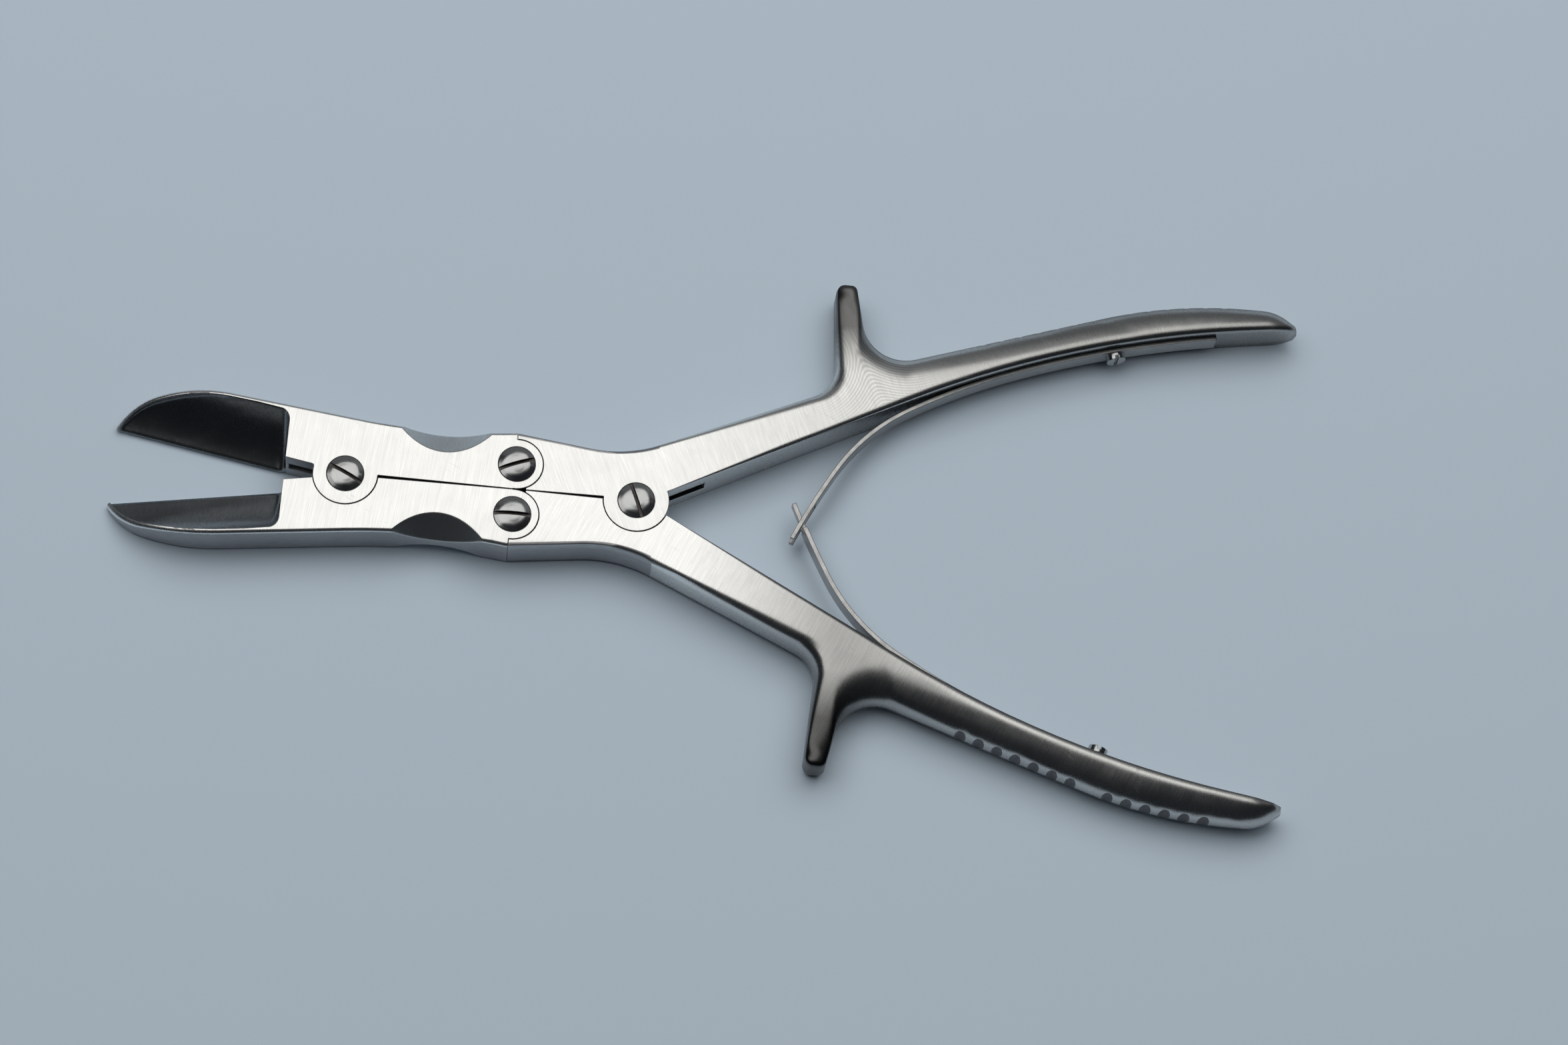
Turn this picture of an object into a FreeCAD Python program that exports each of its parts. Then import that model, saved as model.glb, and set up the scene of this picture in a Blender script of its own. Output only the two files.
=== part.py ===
"""Double-action bone cutting forceps, straight, 270 mm long when closed, shown fully open.

Frame: the rear pivot stands on the origin, the plane z = 0 is the table, the blades point
along -X, the handles along +X, and the upper jaw and handle lie on the +Y side.
Lengths are in millimetres and angles in degrees.
"""
import FreeCAD, Part
import math
import os

from FreeCAD import Rotation, Vector

# Driving dimensions: alias, value and what it is
SIZES = [
    # Joint block
    ("block_thickness", 10.5, "thickness of the jaws and of the handles"),
    ("cheek_thickness", 3.75, "each of the two cheeks of a fork"),
    ("side_gap", 0.05, "running gap between a tongue and each cheek"),
    ("pivot_span", 64.7, "front pivot to rear pivot, forceps open"),
    ("link_ahead", 27.11, "link pivots ahead of the rear pivot, open"),
    ("link_offset", 5.96, "link pivots either side of the centre line, open"),
    ("front_ear_radius", 7.15, "round ears at the front pivot"),
    ("rear_ear_radius", 7.3, "round ears at the rear pivot"),
    ("link_ear_radius", 5.84, "round ears of the jaw tails"),
    ("ear_gap", 0.14, "gap round an ear in its seat"),
    ("butt_gap", 0.08, "gap between a jaw's tail and its handle, outside the ear"),
    ("butt_back", 0.3, "butt joint ahead of the link pivot"),
    ("parting_gap_links", 0.06, "half the gap on the centre line, by the links"),
    ("parting_gap_pivots", 0.33, "half the gap on the centre line, by the two end pivots"),
    ("saw_radius_front", 12.3, "slitting saw that cuts the front fork"),
    ("saw_ahead_front", 2.3, "its centre, ahead of the front pivot"),
    ("saw_radius_rear", 14.9, "slitting saw that cuts the rear fork"),
    ("saw_behind_rear", 5.0, "its centre, behind the rear pivot"),
    ("saw_drop", 3.8, "centres of both saws, across the centre line"),
    ("corner_trim", 2.5, "blunted front corner of a handle, behind its link pivot"),
    ("overrun", 1.0, "how far a cutter runs past a face"),
    # Pivot screws
    ("shoulder_radius", 3.2, "plain shoulder that a tongue turns on"),
    ("thread_radius", 2.6, "threaded end in the lower cheek"),
    ("head_radius", 4.12, "head, sunk in the upper cheek"),
    ("head_depth", 2.0, "cylindrical part of the head"),
    ("dome_height", 0.8, "crown of the head above the face"),
    ("crown_radius", 2.9, "where the crown's two tapers meet"),
    ("crown_height", 0.5, "their meeting above the face"),
    ("crown_flat", 1.2, "flat on top of the crown"),
    ("head_gap", 0.05, "gap round the head"),
    ("shank_gap", 0.02, "gap round shoulder and thread in the cheeks"),
    ("bore_gap", 0.05, "running gap of the shoulder in a tongue"),
    ("link_bore_gap", 0.2, "the same at the upper link, which closes the linkage"),
    ("driver_width", 0.75, "screwdriver slot"),
    ("driver_depth", 0.95, "screwdriver slot, below the crown"),
    ("front_driver_turn", -27.0, "how the slot of the front screw lies"),
    ("upper_driver_turn", 21.7, "how the slot of the upper link screw lies"),
    ("lower_driver_turn", 0.5, "how the slot of the lower link screw lies"),
    ("rear_driver_turn", -67.7, "how the slot of the rear screw lies"),
    # Jaws
    ("tip_ahead", 51.9, "blade tip ahead of the front pivot, open"),
    ("tip_width", 0.9, "blunt end of the blade, across"),
    ("half_opening", 9.66, "each cutting edge to the centre line, open"),
    ("edge_gap", 0.05, "half the gap left between the closed cutting edges"),
    ("back_at_butt", 13.65, "outer edge of jaw and handle at their butt joint"),
    ("waist_ahead", 16.29, "scoops ahead of the link pivots"),
    ("waist_corner_ahead", 18.89, "corner of the shank's back ahead of the link pivots"),
    ("waist_corner_across", 11.49, "that corner from the centre line"),
    ("waist_round", 145.0, "round of the shank's back"),
    ("belly_corner_ahead", 34.5, "corner of the blade's back ahead of the front pivot"),
    ("belly_corner_across", 17.77, "its corner from the centre line"),
    ("belly_round", 46.0, "round of the blade's back"),
    ("nose_corner_ahead", 48.5, "corner of the blade's nose ahead of the front pivot"),
    ("nose_corner_across", 14.56, "its corner from the centre line"),
    ("nose_corner_round", 14.5, "round of the blade's nose"),
    ("heel_ahead", 13.5, "heel of the hollow ahead of the front pivot"),
    ("jaw_edge_round", 0.9, "rounding of the long outer edges"),
    ("edge_height", 1.0, "cutting edge above the flat side"),
    ("edge_land", 0.15, "land left on the cutting edge"),
    ("bevel_width", 1.6, "bevel under the cutting edge"),
    ("rim_width", 1.05, "rim left outside the hollow"),
    ("hollow_width", 11.6, "hollow from the cutting edge to where it would leave the face"),
    ("hollow_sag", 1.5, "how far the hollow sags below a straight grind"),
    ("heel_corner", 3.0, "rounding of the hollow's outer corner at the heel"),
    ("heel_round", 2.4, "round from the hollow up to the wall at the heel"),
    ("heel_relief", 0.3, "inner wall behind the heel, back from the edge line"),
    ("heel_step", 2.0, "run of the slope from the edge to the relieved wall"),
    ("throat_round", 0.5, "fillet where the inner wall meets the ear"),
    ("taper_start", 27.5, "where the blade begins to fall, ahead of the front pivot"),
    ("tip_height", 1.5, "height of the blade at its tip"),
    ("scoop_radius", 18.5, "grinding wheel of the scoops"),
    ("scoop_inner", 7.2, "scoop's inner end on the face, from the centre line"),
    ("scoop_slope", 36.0, "slope of the scoops below the face"),
    # Handles: the straights of the outline meet at corners, each with its round
    ("inner_start_along", 7.0, "where the inner face leaves the rear ear"),
    ("inner_start_across", 2.9, "its distance there from the centre line"),
    ("dip_along", -3.2, "dip of the outer edge beside the rear pivot"),
    ("dip_across", 10.7, "its corner from the centre line"),
    ("dip_round", 30.0, "round of the dip"),
    ("horn_root_along", 42.7, "front root of the finger horn"),
    ("horn_root_across", 32.2, "its corner from the centre line"),
    ("horn_root_round", 8.0, "round of the front root"),
    ("horn_tip_along", 41.2, "front corner of the horn's tip"),
    ("horn_tip_across", 57.6, "horn's tip from the centre line"),
    ("horn_tip_round", 2.5, "round of the front corner"),
    ("horn_tip_width", 4.8, "horn across its tip"),
    ("horn_back_round", 1.9, "round of the rear corner of the tip"),
    ("horn_fall", 1.5, "how far each face of the horn has fallen at its tip"),
    ("crotch_along", 50.1, "rear root of the horn"),
    ("crotch_across", 38.2, "its corner from the centre line"),
    ("crotch_round", 9.5, "round of the rear root"),
    ("crest_along", 118.6, "bend of the back of the grip"),
    ("crest_across", 61.8, "its corner from the centre line"),
    ("crest_reach", 17.9, "reach of its round either way along the back"),
    ("nose_along", 142.2, "handle end, where the back turns down"),
    ("nose_round", 11.0, "round there"),
    ("end_along", 148.7, "handle end, foot of its slope"),
    ("end_drop", 4.5, "its corner inside the crest"),
    ("end_round", 1.6, "round there"),
    ("palm_along", 95.5, "bend of the inner face"),
    ("palm_depth", 12.63, "its corner inside the crest"),
    ("palm_reach", 39.1, "reach of its round either way along the inner face"),
    ("face_round", 0.15, "what is left at the faces of the rounds of horn tip and end"),
    ("front_soft", 0.9, "rounding of the outer edge by the links"),
    ("shank_soft", 3.2, "rounding of the outer edge before the horn"),
    ("horn_soft", 2.2, "rounding of the horn at its tip"),
    ("crotch_soft", 3.0, "rounding of the horn at its rear root"),
    ("back_soft", 7.5, "rounding of the back behind the horn"),
    ("crest_soft", 10.6, "rounding of the back at its bend"),
    ("end_soft", 7.6, "rounding of the back at the handle end"),
    ("back_wall", 2.4, "upright part of the back, between its roundings"),
    ("nose_draw", 7.6, "how far the handle end draws in at the faces"),
    ("notch_pitch", 4.38, "grip notches, along the back"),
    ("notch_radius", 2.0, "cutter of the grip notches"),
    ("notch_depth", 0.7, "depth of the grip notches"),
    ("notch_start", 75.4, "first grip notch behind the rear pivot"),
    # Leaf springs
    ("leaf_thickness", 1.0, "spring leaf"),
    ("leaf_width", 4.6, "spring leaf, up and down"),
    ("leaf_tail", 128.6, "rear end of the leaf behind the rear pivot"),
    ("leaf_lift_off", 82.0, "where the leaf leaves the handle"),
    ("leaf_easy_radius", 150.0, "first bow of the free leaf"),
    ("leaf_easy_turn", 9.5, "its turn"),
    ("leaf_bow_radius", 47.0, "main bow of the free leaf"),
    ("leaf_bow_turn", 29.0, "its turn"),
    ("leaf_end_radius", 200.0, "last bow of the free leaf"),
    ("leaf_cross", 4.19, "how far the end of a leaf reaches past the centre line"),
    ("fork_slot_length", 10.5, "slot in the end of the upper leaf"),
    ("fork_slot_width", 2.6, "slot in the end of the upper leaf"),
    ("tongue_width", 2.0, "tongue on the end of the lower leaf"),
    ("tongue_length", 6.5, "tongue on the end of the lower leaf"),
    ("leaf_screw_along", 105.6, "leaf screw behind the rear pivot"),
    ("leaf_screw_radius", 1.25, "shank of the leaf screw"),
    ("leaf_screw_reach", 4.0, "shank of the leaf screw in the handle"),
    ("leaf_head_radius", 2.2, "head of the leaf screw"),
    ("leaf_head_height", 1.5, "head of the leaf screw"),
    ("leaf_driver_depth", 0.7, "screwdriver slot of the leaf screw"),
]

doc = FreeCAD.newDocument("bone_cutting_forceps")
sheet = doc.addObject("Spreadsheet::Sheet", "Sizes")
for row, (alias, value, note) in enumerate(SIZES, start=1):
    sheet.set(f"A{row}", note)
    sheet.set(f"B{row}", str(value))
    sheet.setAlias(f"B{row}", alias)
doc.recompute()


def val(alias):
    """The value that the sheet holds for an alias."""
    return float(getattr(sheet, alias))


def ahead(pivot, alias):
    """Distance ahead of the rear pivot of what is placed ahead of another pivot."""
    return val(pivot) + val(alias)


UPPER, LOWER = 1, -1
FIRST_NOTCHES, LAST_NOTCHES = 7, 6

# Sheet expressions for the levels and for the pivots of the open forceps
FACE = "Sizes.block_thickness"
BELOW = "-Sizes.overrun"
ABOVE = "Sizes.block_thickness + Sizes.overrun"
SLOT_LOW = "Sizes.cheek_thickness"
SLOT_HIGH = "Sizes.block_thickness - Sizes.cheek_thickness"
TONGUE_LOW = "Sizes.cheek_thickness + Sizes.side_gap"
TONGUE_HIGH = "Sizes.block_thickness - Sizes.cheek_thickness - Sizes.side_gap"
HEAD_SEAT = "Sizes.block_thickness - Sizes.head_depth"
PIVOTS = {
    "front": ("-Sizes.pivot_span", "0"),
    "link_upper": ("-Sizes.link_ahead", "Sizes.link_offset"),
    "link_lower": ("-Sizes.link_ahead", "-Sizes.link_offset"),
    "rear": ("0", "0"),
}


def solid_feature(name, shape):
    """A computed solid as an object of the document."""
    feature = doc.addObject("Part::Feature", name)
    feature.Shape = shape
    return feature


def disc(name, centre, radius, bottom, top):
    """An upright round, its radius, levels and centre tied to the sheet."""
    plate = doc.addObject("Part::Cylinder", name)
    plate.setExpression("Radius", radius)
    plate.setExpression("Height", f"({top}) - ({bottom})")
    plate.setExpression("Placement.Base.x", centre[0])
    plate.setExpression("Placement.Base.y", centre[1])
    plate.setExpression("Placement.Base.z", bottom)
    return plate


def fused(name, parts):
    joined = doc.addObject("Part::MultiFuse", name)
    joined.Shapes = parts
    return joined


def without(name, body, cutters):
    """The body with all the cutters taken away."""
    tools = cutters[0]
    if len(cutters) > 1:
        tools = fused(name + "_cutters", cutters)
    rest = doc.addObject("Part::Cut", name)
    rest.Base = body
    rest.Tool = tools
    return rest


# Outlines of straights that meet in rounded corners

def unit(a, b):
    """Direction from a to b in the plane."""
    length = math.hypot(b[0] - a[0], b[1] - a[1])
    return ((b[0] - a[0]) / length, (b[1] - a[1]) / length)


def crossing(a, b, c, d):
    """Where the line through a and b meets the line through c and d."""
    ux, uy = b[0] - a[0], b[1] - a[1]
    wx, wy = d[0] - c[0], d[1] - c[1]
    t = ((c[0] - a[0]) * wy - (c[1] - a[1]) * wx) / (ux * wy - uy * wx)
    return (a[0] + t * ux, a[1] + t * uy)


def rounded_wire(corners, level):
    """A closed wire through corners (x, y, round) at one level."""
    count = len(corners)
    stops = []
    for i, (x, y, radius) in enumerate(corners):
        back = unit((x, y), corners[i - 1])
        ahead = unit((x, y), corners[(i + 1) % count])
        if radius == 0:
            stops.append((Vector(x, y, level), None, Vector(x, y, level)))
            continue
        cosine = back[0] * ahead[0] + back[1] * ahead[1]
        half = math.acos(max(-1.0, min(1.0, cosine))) / 2
        reach = radius / math.tan(half)
        middle = unit((0, 0), (back[0] + ahead[0], back[1] + ahead[1]))
        depth = radius / math.sin(half) - radius
        start = Vector(x + back[0] * reach, y + back[1] * reach, level)
        crown = Vector(x + middle[0] * depth, y + middle[1] * depth, level)
        end = Vector(x + ahead[0] * reach, y + ahead[1] * reach, level)
        stops.append((start, crown, end))
    edges = []
    for i, (start, crown, end) in enumerate(stops):
        if crown is not None:
            edges.append(Part.Arc(start, crown, end).toShape())
        edges.append(Part.LineSegment(end, stops[(i + 1) % count][0]).toShape())
    return Part.Wire(edges)


def prism(corners, bottom, top):
    """An upright prism over a rounded outline."""
    face = Part.Face(rounded_wire(corners, bottom))
    return face.extrude(Vector(0, 0, top - bottom))


def drawn_outline(corners, draws):
    """The outline after each straight, from its corner to the next, is drawn in.

    A draw is a pair: the amount at the first and at the last end of the straight.
    """
    count = len(corners)
    lines = []
    for i, (a, b) in enumerate(draws):
        start, end = corners[i], corners[(i + 1) % count]
        run = unit(start, end)
        first = (start[0] - run[1] * a, start[1] + run[0] * a)
        lines.append((first, (end[0] - run[1] * b, end[1] + run[0] * b)))
    return [crossing(*lines[i - 1], *lines[i]) + (corners[i][2],) for i in range(count)]


def mirrored(shape, side):
    """The shape itself for the upper half, its mirror image for the lower."""
    if side == UPPER:
        return shape
    return shape.mirror(Vector(0, 0, 0), Vector(0, 1, 0))


# Jaws

def edge_point(along, offset):
    """A point of the upper cutting edge line, open, moved into the blade by an offset."""
    slope = math.radians(val("half_opening"))
    x = -val("pivot_span") - along * math.cos(slope) + offset * math.sin(slope)
    y = along * math.sin(slope) + offset * math.cos(slope)
    return (x, y)


def back_corners(inset):
    """Back of the upper jaw from the butt joint to the tip, moved in by an inset."""
    butt = -val("link_ahead") - val("butt_back") - val("butt_gap")
    tip = tip_edge()
    corners = [
        (butt, val("back_at_butt"), 0),
        (-ahead("link_ahead", "waist_corner_ahead"), val("waist_corner_across"), val("waist_round") + inset),
        (-ahead("pivot_span", "belly_corner_ahead"), val("belly_corner_across"), val("belly_round") - inset),
        (-ahead("pivot_span", "nose_corner_ahead"), val("nose_corner_across"), val("nose_corner_round") - inset),
        (tip[0], tip[1] + val("tip_width"), 0),
    ]
    if inset == 0:
        return corners
    ring = corners + [(tip[0], -val("overrun"), 0), (butt, -val("overrun"), 0)]
    return drawn_outline(ring, [(inset, inset)] * 4 + [(0, 0)] * 3)[:5]


def tip_edge():
    """End of the cutting edge at the tip."""
    slope = math.radians(val("half_opening"))
    x = -ahead("pivot_span", "tip_ahead")
    y = (-val("pivot_span") - x) * math.tan(slope) + val("edge_gap") / math.cos(slope)
    return (x, y)


def along_at(x):
    """Distance from the front pivot along the edge line to a given x."""
    return (-val("pivot_span") - x) / math.cos(math.radians(val("half_opening")))


def jaw_plan():
    """Full-height outline of the upper jaw: back, blade, relieved wall and tail."""
    heel = along_at(-ahead("pivot_span", "heel_ahead"))
    ear = val("front_ear_radius")
    relieved = val("edge_gap") + val("heel_relief")
    butt = -val("link_ahead") - val("butt_back") - val("butt_gap")
    return back_corners(0) + [
        tip_edge() + (0,),
        edge_point(heel + val("heel_step"), val("edge_gap")) + (0,),
        edge_point(heel, relieved) + (0,),
        edge_point(ear, relieved) + (val("throat_round"),),
        (-val("pivot_span") - ear, 0, 0),
        (-val("pivot_span"), val("parting_gap_pivots"), 0),
        (butt, val("parting_gap_links"), 0),
    ]


def falling_away(start, onward, run, fall):
    """Section of what lies above a face that falls away in an arc from a start on it."""
    radius = (run * run + fall * fall) / (2 * fall)
    turn = math.asin(run / radius) / 2
    up = Vector(0, 0, 1)
    middle = start + onward * (radius * math.sin(turn)) - up * (radius * (1 - math.cos(turn)))
    foot = start + onward * run - up * fall
    beyond = foot + onward * val("overrun")
    above = beyond + up * (fall + val("overrun"))
    ring = [foot, beyond, above, start + up * val("overrun"), start]
    edges = [Part.Arc(start, middle, foot).toShape()]
    for a, b in zip(ring, ring[1:]):
        edges.append(Part.LineSegment(a, b).toShape())
    return Part.Face(Part.Wire(edges))


def jaw_taper():
    """What is ground off the back of the blade towards the tip."""
    start = Vector(-ahead("pivot_span", "taper_start"), 0, val("block_thickness"))
    run = val("tip_ahead") - val("taper_start")
    fall = val("block_thickness") - val("tip_height")
    section = falling_away(start, Vector(-1, 0, 0), run, fall)
    return section.extrude(Vector(0, 2 * val("belly_corner_across"), 0))


def hollow_cutter(radius, offset, height):
    """Round cutter that runs along the blade from the heel, where its end is rounded.

    Its round lies in an upright plane across the forceps, like the wall at the heel.
    """
    slope = math.radians(val("half_opening"))
    small = val("heel_round")
    x = -ahead("pivot_span", "heel_ahead") - small
    y = (-val("pivot_span") - x) * math.tan(slope) + offset / math.cos(slope)
    centre = Vector(x, y, height)
    rim = centre + Vector(0, radius, 0)
    inner = rim + Vector(small, -small, 0)
    middle = rim + Vector(small * math.sqrt(0.5), small * (math.sqrt(0.5) - 1), 0)
    outline = [
        Part.LineSegment(centre, rim).toShape(),
        Part.Arc(rim, middle, inner).toShape(),
        Part.LineSegment(inner, Vector(inner.x, y, height)).toShape(),
        Part.LineSegment(Vector(inner.x, y, height), centre).toShape(),
    ]
    end = Part.Face(Part.Wire(outline)).revolve(centre, Vector(1, 0, 0), 360)
    section = Part.Face(Part.Wire(Part.Circle(centre, Vector(1, 0, 0), radius).toShape()))
    reach = val("tip_ahead")
    return section.extrude(Vector(-reach, reach * math.tan(slope), 0)).fuse(end)


def jaw_hollow():
    """The hollow of the blade: a long round cutter inside an inset outline."""
    width, rise = val("hollow_width"), val("block_thickness") - val("edge_height")
    chord = math.hypot(width, rise)
    sag = val("hollow_sag")
    radius = (chord * chord / 4 + sag * sag) / (2 * sag)
    across = width / 2 - rise / chord * (radius - sag)
    height = val("edge_height") + rise / 2 + width / chord * (radius - sag)
    cutter = hollow_cutter(radius, across + val("edge_gap"), height)
    top = val("block_thickness") + val("overrun")
    rim = back_corners(val("rim_width"))
    deep = -2 * val("belly_corner_across")
    inside = prism(rim + [(rim[-1][0], deep, 0), (rim[0][0], deep, 0)], 0, top)
    far = -ahead("pivot_span", "tip_ahead") - val("overrun")
    heel = -ahead("pivot_span", "heel_ahead")
    corner = crossing(rim[1], rim[2], (heel, 0), (heel, 1))
    ring = [(heel, deep, 0), corner + (val("heel_corner"),), rim[2][:2] + (0,),
            (far, rim[2][1], 0), (far, deep, 0)]
    return cutter.common(inside).common(prism(ring, 0, top))


def jaw_bevel():
    """The bevel under the cutting edge."""
    near = along_at(-ahead("pivot_span", "heel_ahead"))
    far = along_at(-ahead("pivot_span", "tip_ahead") - val("overrun"))
    gap = val("edge_gap")
    over = val("overrun")
    top = val("edge_height") - val("edge_land")
    drop = top / val("bevel_width") * over
    ring = [
        Vector(*edge_point(near, gap - over), top + drop),
        Vector(*edge_point(near, gap + val("bevel_width") + over), -drop),
        Vector(*edge_point(near, gap - over), -drop),
    ]
    run = Vector(*edge_point(far, 0), 0) - Vector(*edge_point(near, 0), 0)
    return Part.Face(Part.makePolygon(ring + ring[:1])).extrude(run)


def jaw_blank(side):
    """Jaw without its joints: softened back, fallen tip, hollow and bevel."""
    blank = prism(jaw_plan(), 0, val("block_thickness")).cut(jaw_taper())
    rims = []
    for edge in blank.Edges:
        box = edge.BoundBox
        flat = box.ZLength < val("block_thickness") - val("overrun")
        if flat and box.YMin > tip_edge()[1] + val("tip_width") / 2 and box.XLength > val("tip_width"):
            rims.append(edge)
    blank = blank.makeFillet(val("jaw_edge_round"), rims)
    blank = blank.cut(jaw_hollow()).cut(jaw_bevel())
    return mirrored(blank, side)


def scoop(name, side, over):
    """Round cutter of one scoop: on the upper or lower face of the upper or lower jaw."""
    wheel = doc.addObject("Part::Cylinder", name)
    wheel.setExpression("Radius", "Sizes.scoop_radius")
    wheel.setExpression("Height", "4 * Sizes.belly_corner_across")
    wheel.Placement.Rotation = Rotation(Vector(1, 0, 0), 90)
    turn = side * over
    wheel.setExpression("Placement.Rotation.Angle", f"(90 - ({turn}) * Sizes.scoop_slope) * 1 deg")
    wheel.setExpression("Placement.Base.x", "-Sizes.link_ahead - Sizes.waist_ahead")
    slope = "(Sizes.scoop_slope * 1 deg)"
    reach = "2 * Sizes.belly_corner_across"
    wheel.setExpression("Placement.Base.y", (
        f"({side}) * (Sizes.scoop_inner + Sizes.scoop_radius * sin{slope}) + {reach} * cos{slope}"))
    level = "Sizes.block_thickness" if over > 0 else "0"
    wheel.setExpression("Placement.Base.z", (
        f"{level} + ({over}) * Sizes.scoop_radius * cos{slope} - ({turn}) * {reach} * sin{slope}"))
    return wheel


# Handles

def round_of(reach, before, corner, after):
    """Radius of the round whose ends lie at a reach from its corner."""
    back, on = unit(corner, before), unit(corner, after)
    return reach * math.tan(math.acos(back[0] * on[0] + back[1] * on[1]) / 2)


def handle_end():
    """Foot of the slope at the handle's end, where back and palm meet."""
    return (val("end_along"), val("crest_across") - val("end_drop"))


def palm_corner():
    """Corner of the inner face's bend, with the radius of its round."""
    start = (val("inner_start_along"), val("inner_start_across"))
    corner = (val("palm_along"), val("crest_across") - val("palm_depth"))
    return corner + (round_of(val("palm_reach"), start, corner, handle_end()),)


def inner_corners():
    """Inner side of the upper handle: blunt front corner, parting line, then the palm."""
    blunt = -val("link_ahead") + val("corner_trim")
    palm = palm_corner()
    run = unit(palm[:2], handle_end())
    reach = 2 * (val("end_along") - val("palm_along"))
    return [
        (-val("link_ahead") - val("butt_back"), val("link_offset"), 0),
        (blunt, val("link_offset"), 0),
        (blunt, val("parting_gap_links"), 0),
        (0, val("parting_gap_pivots"), 0),
        (val("inner_start_along"), val("inner_start_across"), 0),
        palm,
        (palm[0] + run[0] * reach, palm[1] + run[1] * reach, 0),
    ]


def outer_corners():
    """Outer side of the upper handle, from its end to the butt joint, and its softness.

    Each entry: x, y, round at mid height, round at the faces, and how far the straight
    that starts there is drawn in at the faces, at its first and at its last end. The
    last four close the outline well clear of the inner side.
    """
    butt = (-val("link_ahead") - val("butt_back"), val("back_at_butt"))
    dip = (val("dip_along"), val("dip_across"))
    nose = (val("nose_along"), val("crest_across"))
    end = handle_end()
    palm = palm_corner()
    back = unit(dip, butt)
    over = 2 * val("overrun")
    small = val("face_round")
    horn = val("horn_tip_across")
    crotch = (val("crotch_along"), val("crotch_across"))
    crest = (val("crest_along"), val("crest_across"))
    crest_round = round_of(val("crest_reach"), crotch, crest, nose)
    return [
        end + (val("end_round"), val("end_round"), val("nose_draw"), val("nose_draw")),
        nose + (val("nose_round"), small, val("end_soft"), val("crest_soft")),
        crest + (crest_round, crest_round, val("crest_soft"), val("back_soft")),
        crotch + (val("crotch_round"), val("crotch_round"), val("crotch_soft"), val("horn_soft")),
        (val("horn_tip_along") + val("horn_tip_width"), horn, val("horn_back_round"), small,
         val("horn_soft"), val("horn_soft")),
        (val("horn_tip_along"), horn, val("horn_tip_round"), small,
         val("horn_soft"), val("shank_soft")),
        (val("horn_root_along"), val("horn_root_across"), val("horn_root_round"),
         val("horn_root_round"), val("shank_soft"), val("front_soft")),
        dip + (val("dip_round"), val("dip_round"), val("front_soft"), val("front_soft")),
        (butt[0] + back[0] * over, butt[1] + back[1] * over, 0, 0, 0, 0),
        (butt[0] - over, -over, 0, 0, 0, 0),
        (val("inner_start_along"), -over, 0, 0, 0, 0),
        (palm[0], palm[1] - 2 * val("palm_depth"), 0, 0, 0, 0),
    ]


def drawn_in(soft, height):
    """How far an edge of this softness is drawn in at a height from the mid plane."""
    if soft == 0:
        return 0
    half = val("block_thickness") / 2
    rise = min(soft, half - val("back_wall") / 2)
    climb = max(0, height - (half - rise)) / rise
    return soft * (1 - math.sqrt(max(0, 1 - climb * climb)))


def handle_section(height):
    """Outer side of the upper handle at a height from the mid plane, closed."""
    half = val("block_thickness") / 2
    blend = 1 - math.sqrt(max(0, 1 - (height / half) ** 2))
    corners = []
    draws = []
    for x, y, wide, tight, soft_a, soft_b in outer_corners():
        corners.append((x, y, wide + (tight - wide) * blend))
        draws.append((drawn_in(soft_a, height), drawn_in(soft_b, height)))
    return drawn_outline(corners, draws)


def horn_falls():
    """What is ground off both faces of the finger horn, from its root to its tip."""
    start = Vector(val("crotch_along"), val("crotch_across"), val("block_thickness"))
    run = val("horn_tip_across") - val("crotch_across")
    section = falling_away(start, Vector(0, 1, 0), run, val("horn_fall"))
    top = section.extrude(Vector(-2 * (val("crotch_along") - val("horn_tip_along")), 0, 0))
    half = val("block_thickness") / 2
    return top.fuse(top.mirror(Vector(0, 0, half), Vector(0, 0, 1)))


def handle_blank(side):
    """Handle without its joints: a loft through its outer outline at several heights,
    kept where it lies on the handle's side of the inner faces."""
    half = val("block_thickness") / 2
    steps = [math.radians(a) for a in (0, 30, 52, 73, 90)]
    heights = [half * math.sin(a) for a in steps]
    levels = [-z for z in reversed(heights[1:])] + heights
    wires = [rounded_wire(handle_section(abs(z)), half + z) for z in levels]
    outside = Part.makeLoft(wires, True, True)
    inner = inner_corners()
    high = 2 * val("crest_across")
    ring = inner + [(inner[-1][0], high, 0), (inner[0][0], high, 0)]
    inside = prism(ring, -val("overrun"), val("block_thickness") + val("overrun"))
    return mirrored(outside.common(inside).cut(horn_falls()), side)


def back_height(x):
    """Outer edge of the upper handle at mid height, at a distance behind the rear pivot."""
    wall = Part.Face(rounded_wire(handle_section(0), 0))
    high = 2 * val("crest_across")
    ruler = Part.makeLine(Vector(x, 0, 0), Vector(x, high, 0)).common(wall)
    return ruler.BoundBox.YMax


def grip_notches(side):
    """Upright cutters of the notches across the back: seven, a gap, then six."""
    cutters = []
    x = val("notch_start")
    step = val("notch_pitch")
    for number in range(FIRST_NOTCHES + 1 + LAST_NOTCHES):
        y = back_height(x)
        rise = (back_height(x + val("overrun")) - y) / val("overrun")
        along = 1 / math.hypot(1, rise)
        if number != FIRST_NOTCHES:
            stand = val("notch_radius") - val("notch_depth")
            foot = Vector(x - stand * rise * along, y + stand * along, -val("overrun"))
            tall = val("block_thickness") + 2 * val("overrun")
            cutters.append(Part.makeCylinder(val("notch_radius"), tall, foot))
        x += step * along
    return mirrored(Part.makeCompound(cutters), side)


# Leaf springs

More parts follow.
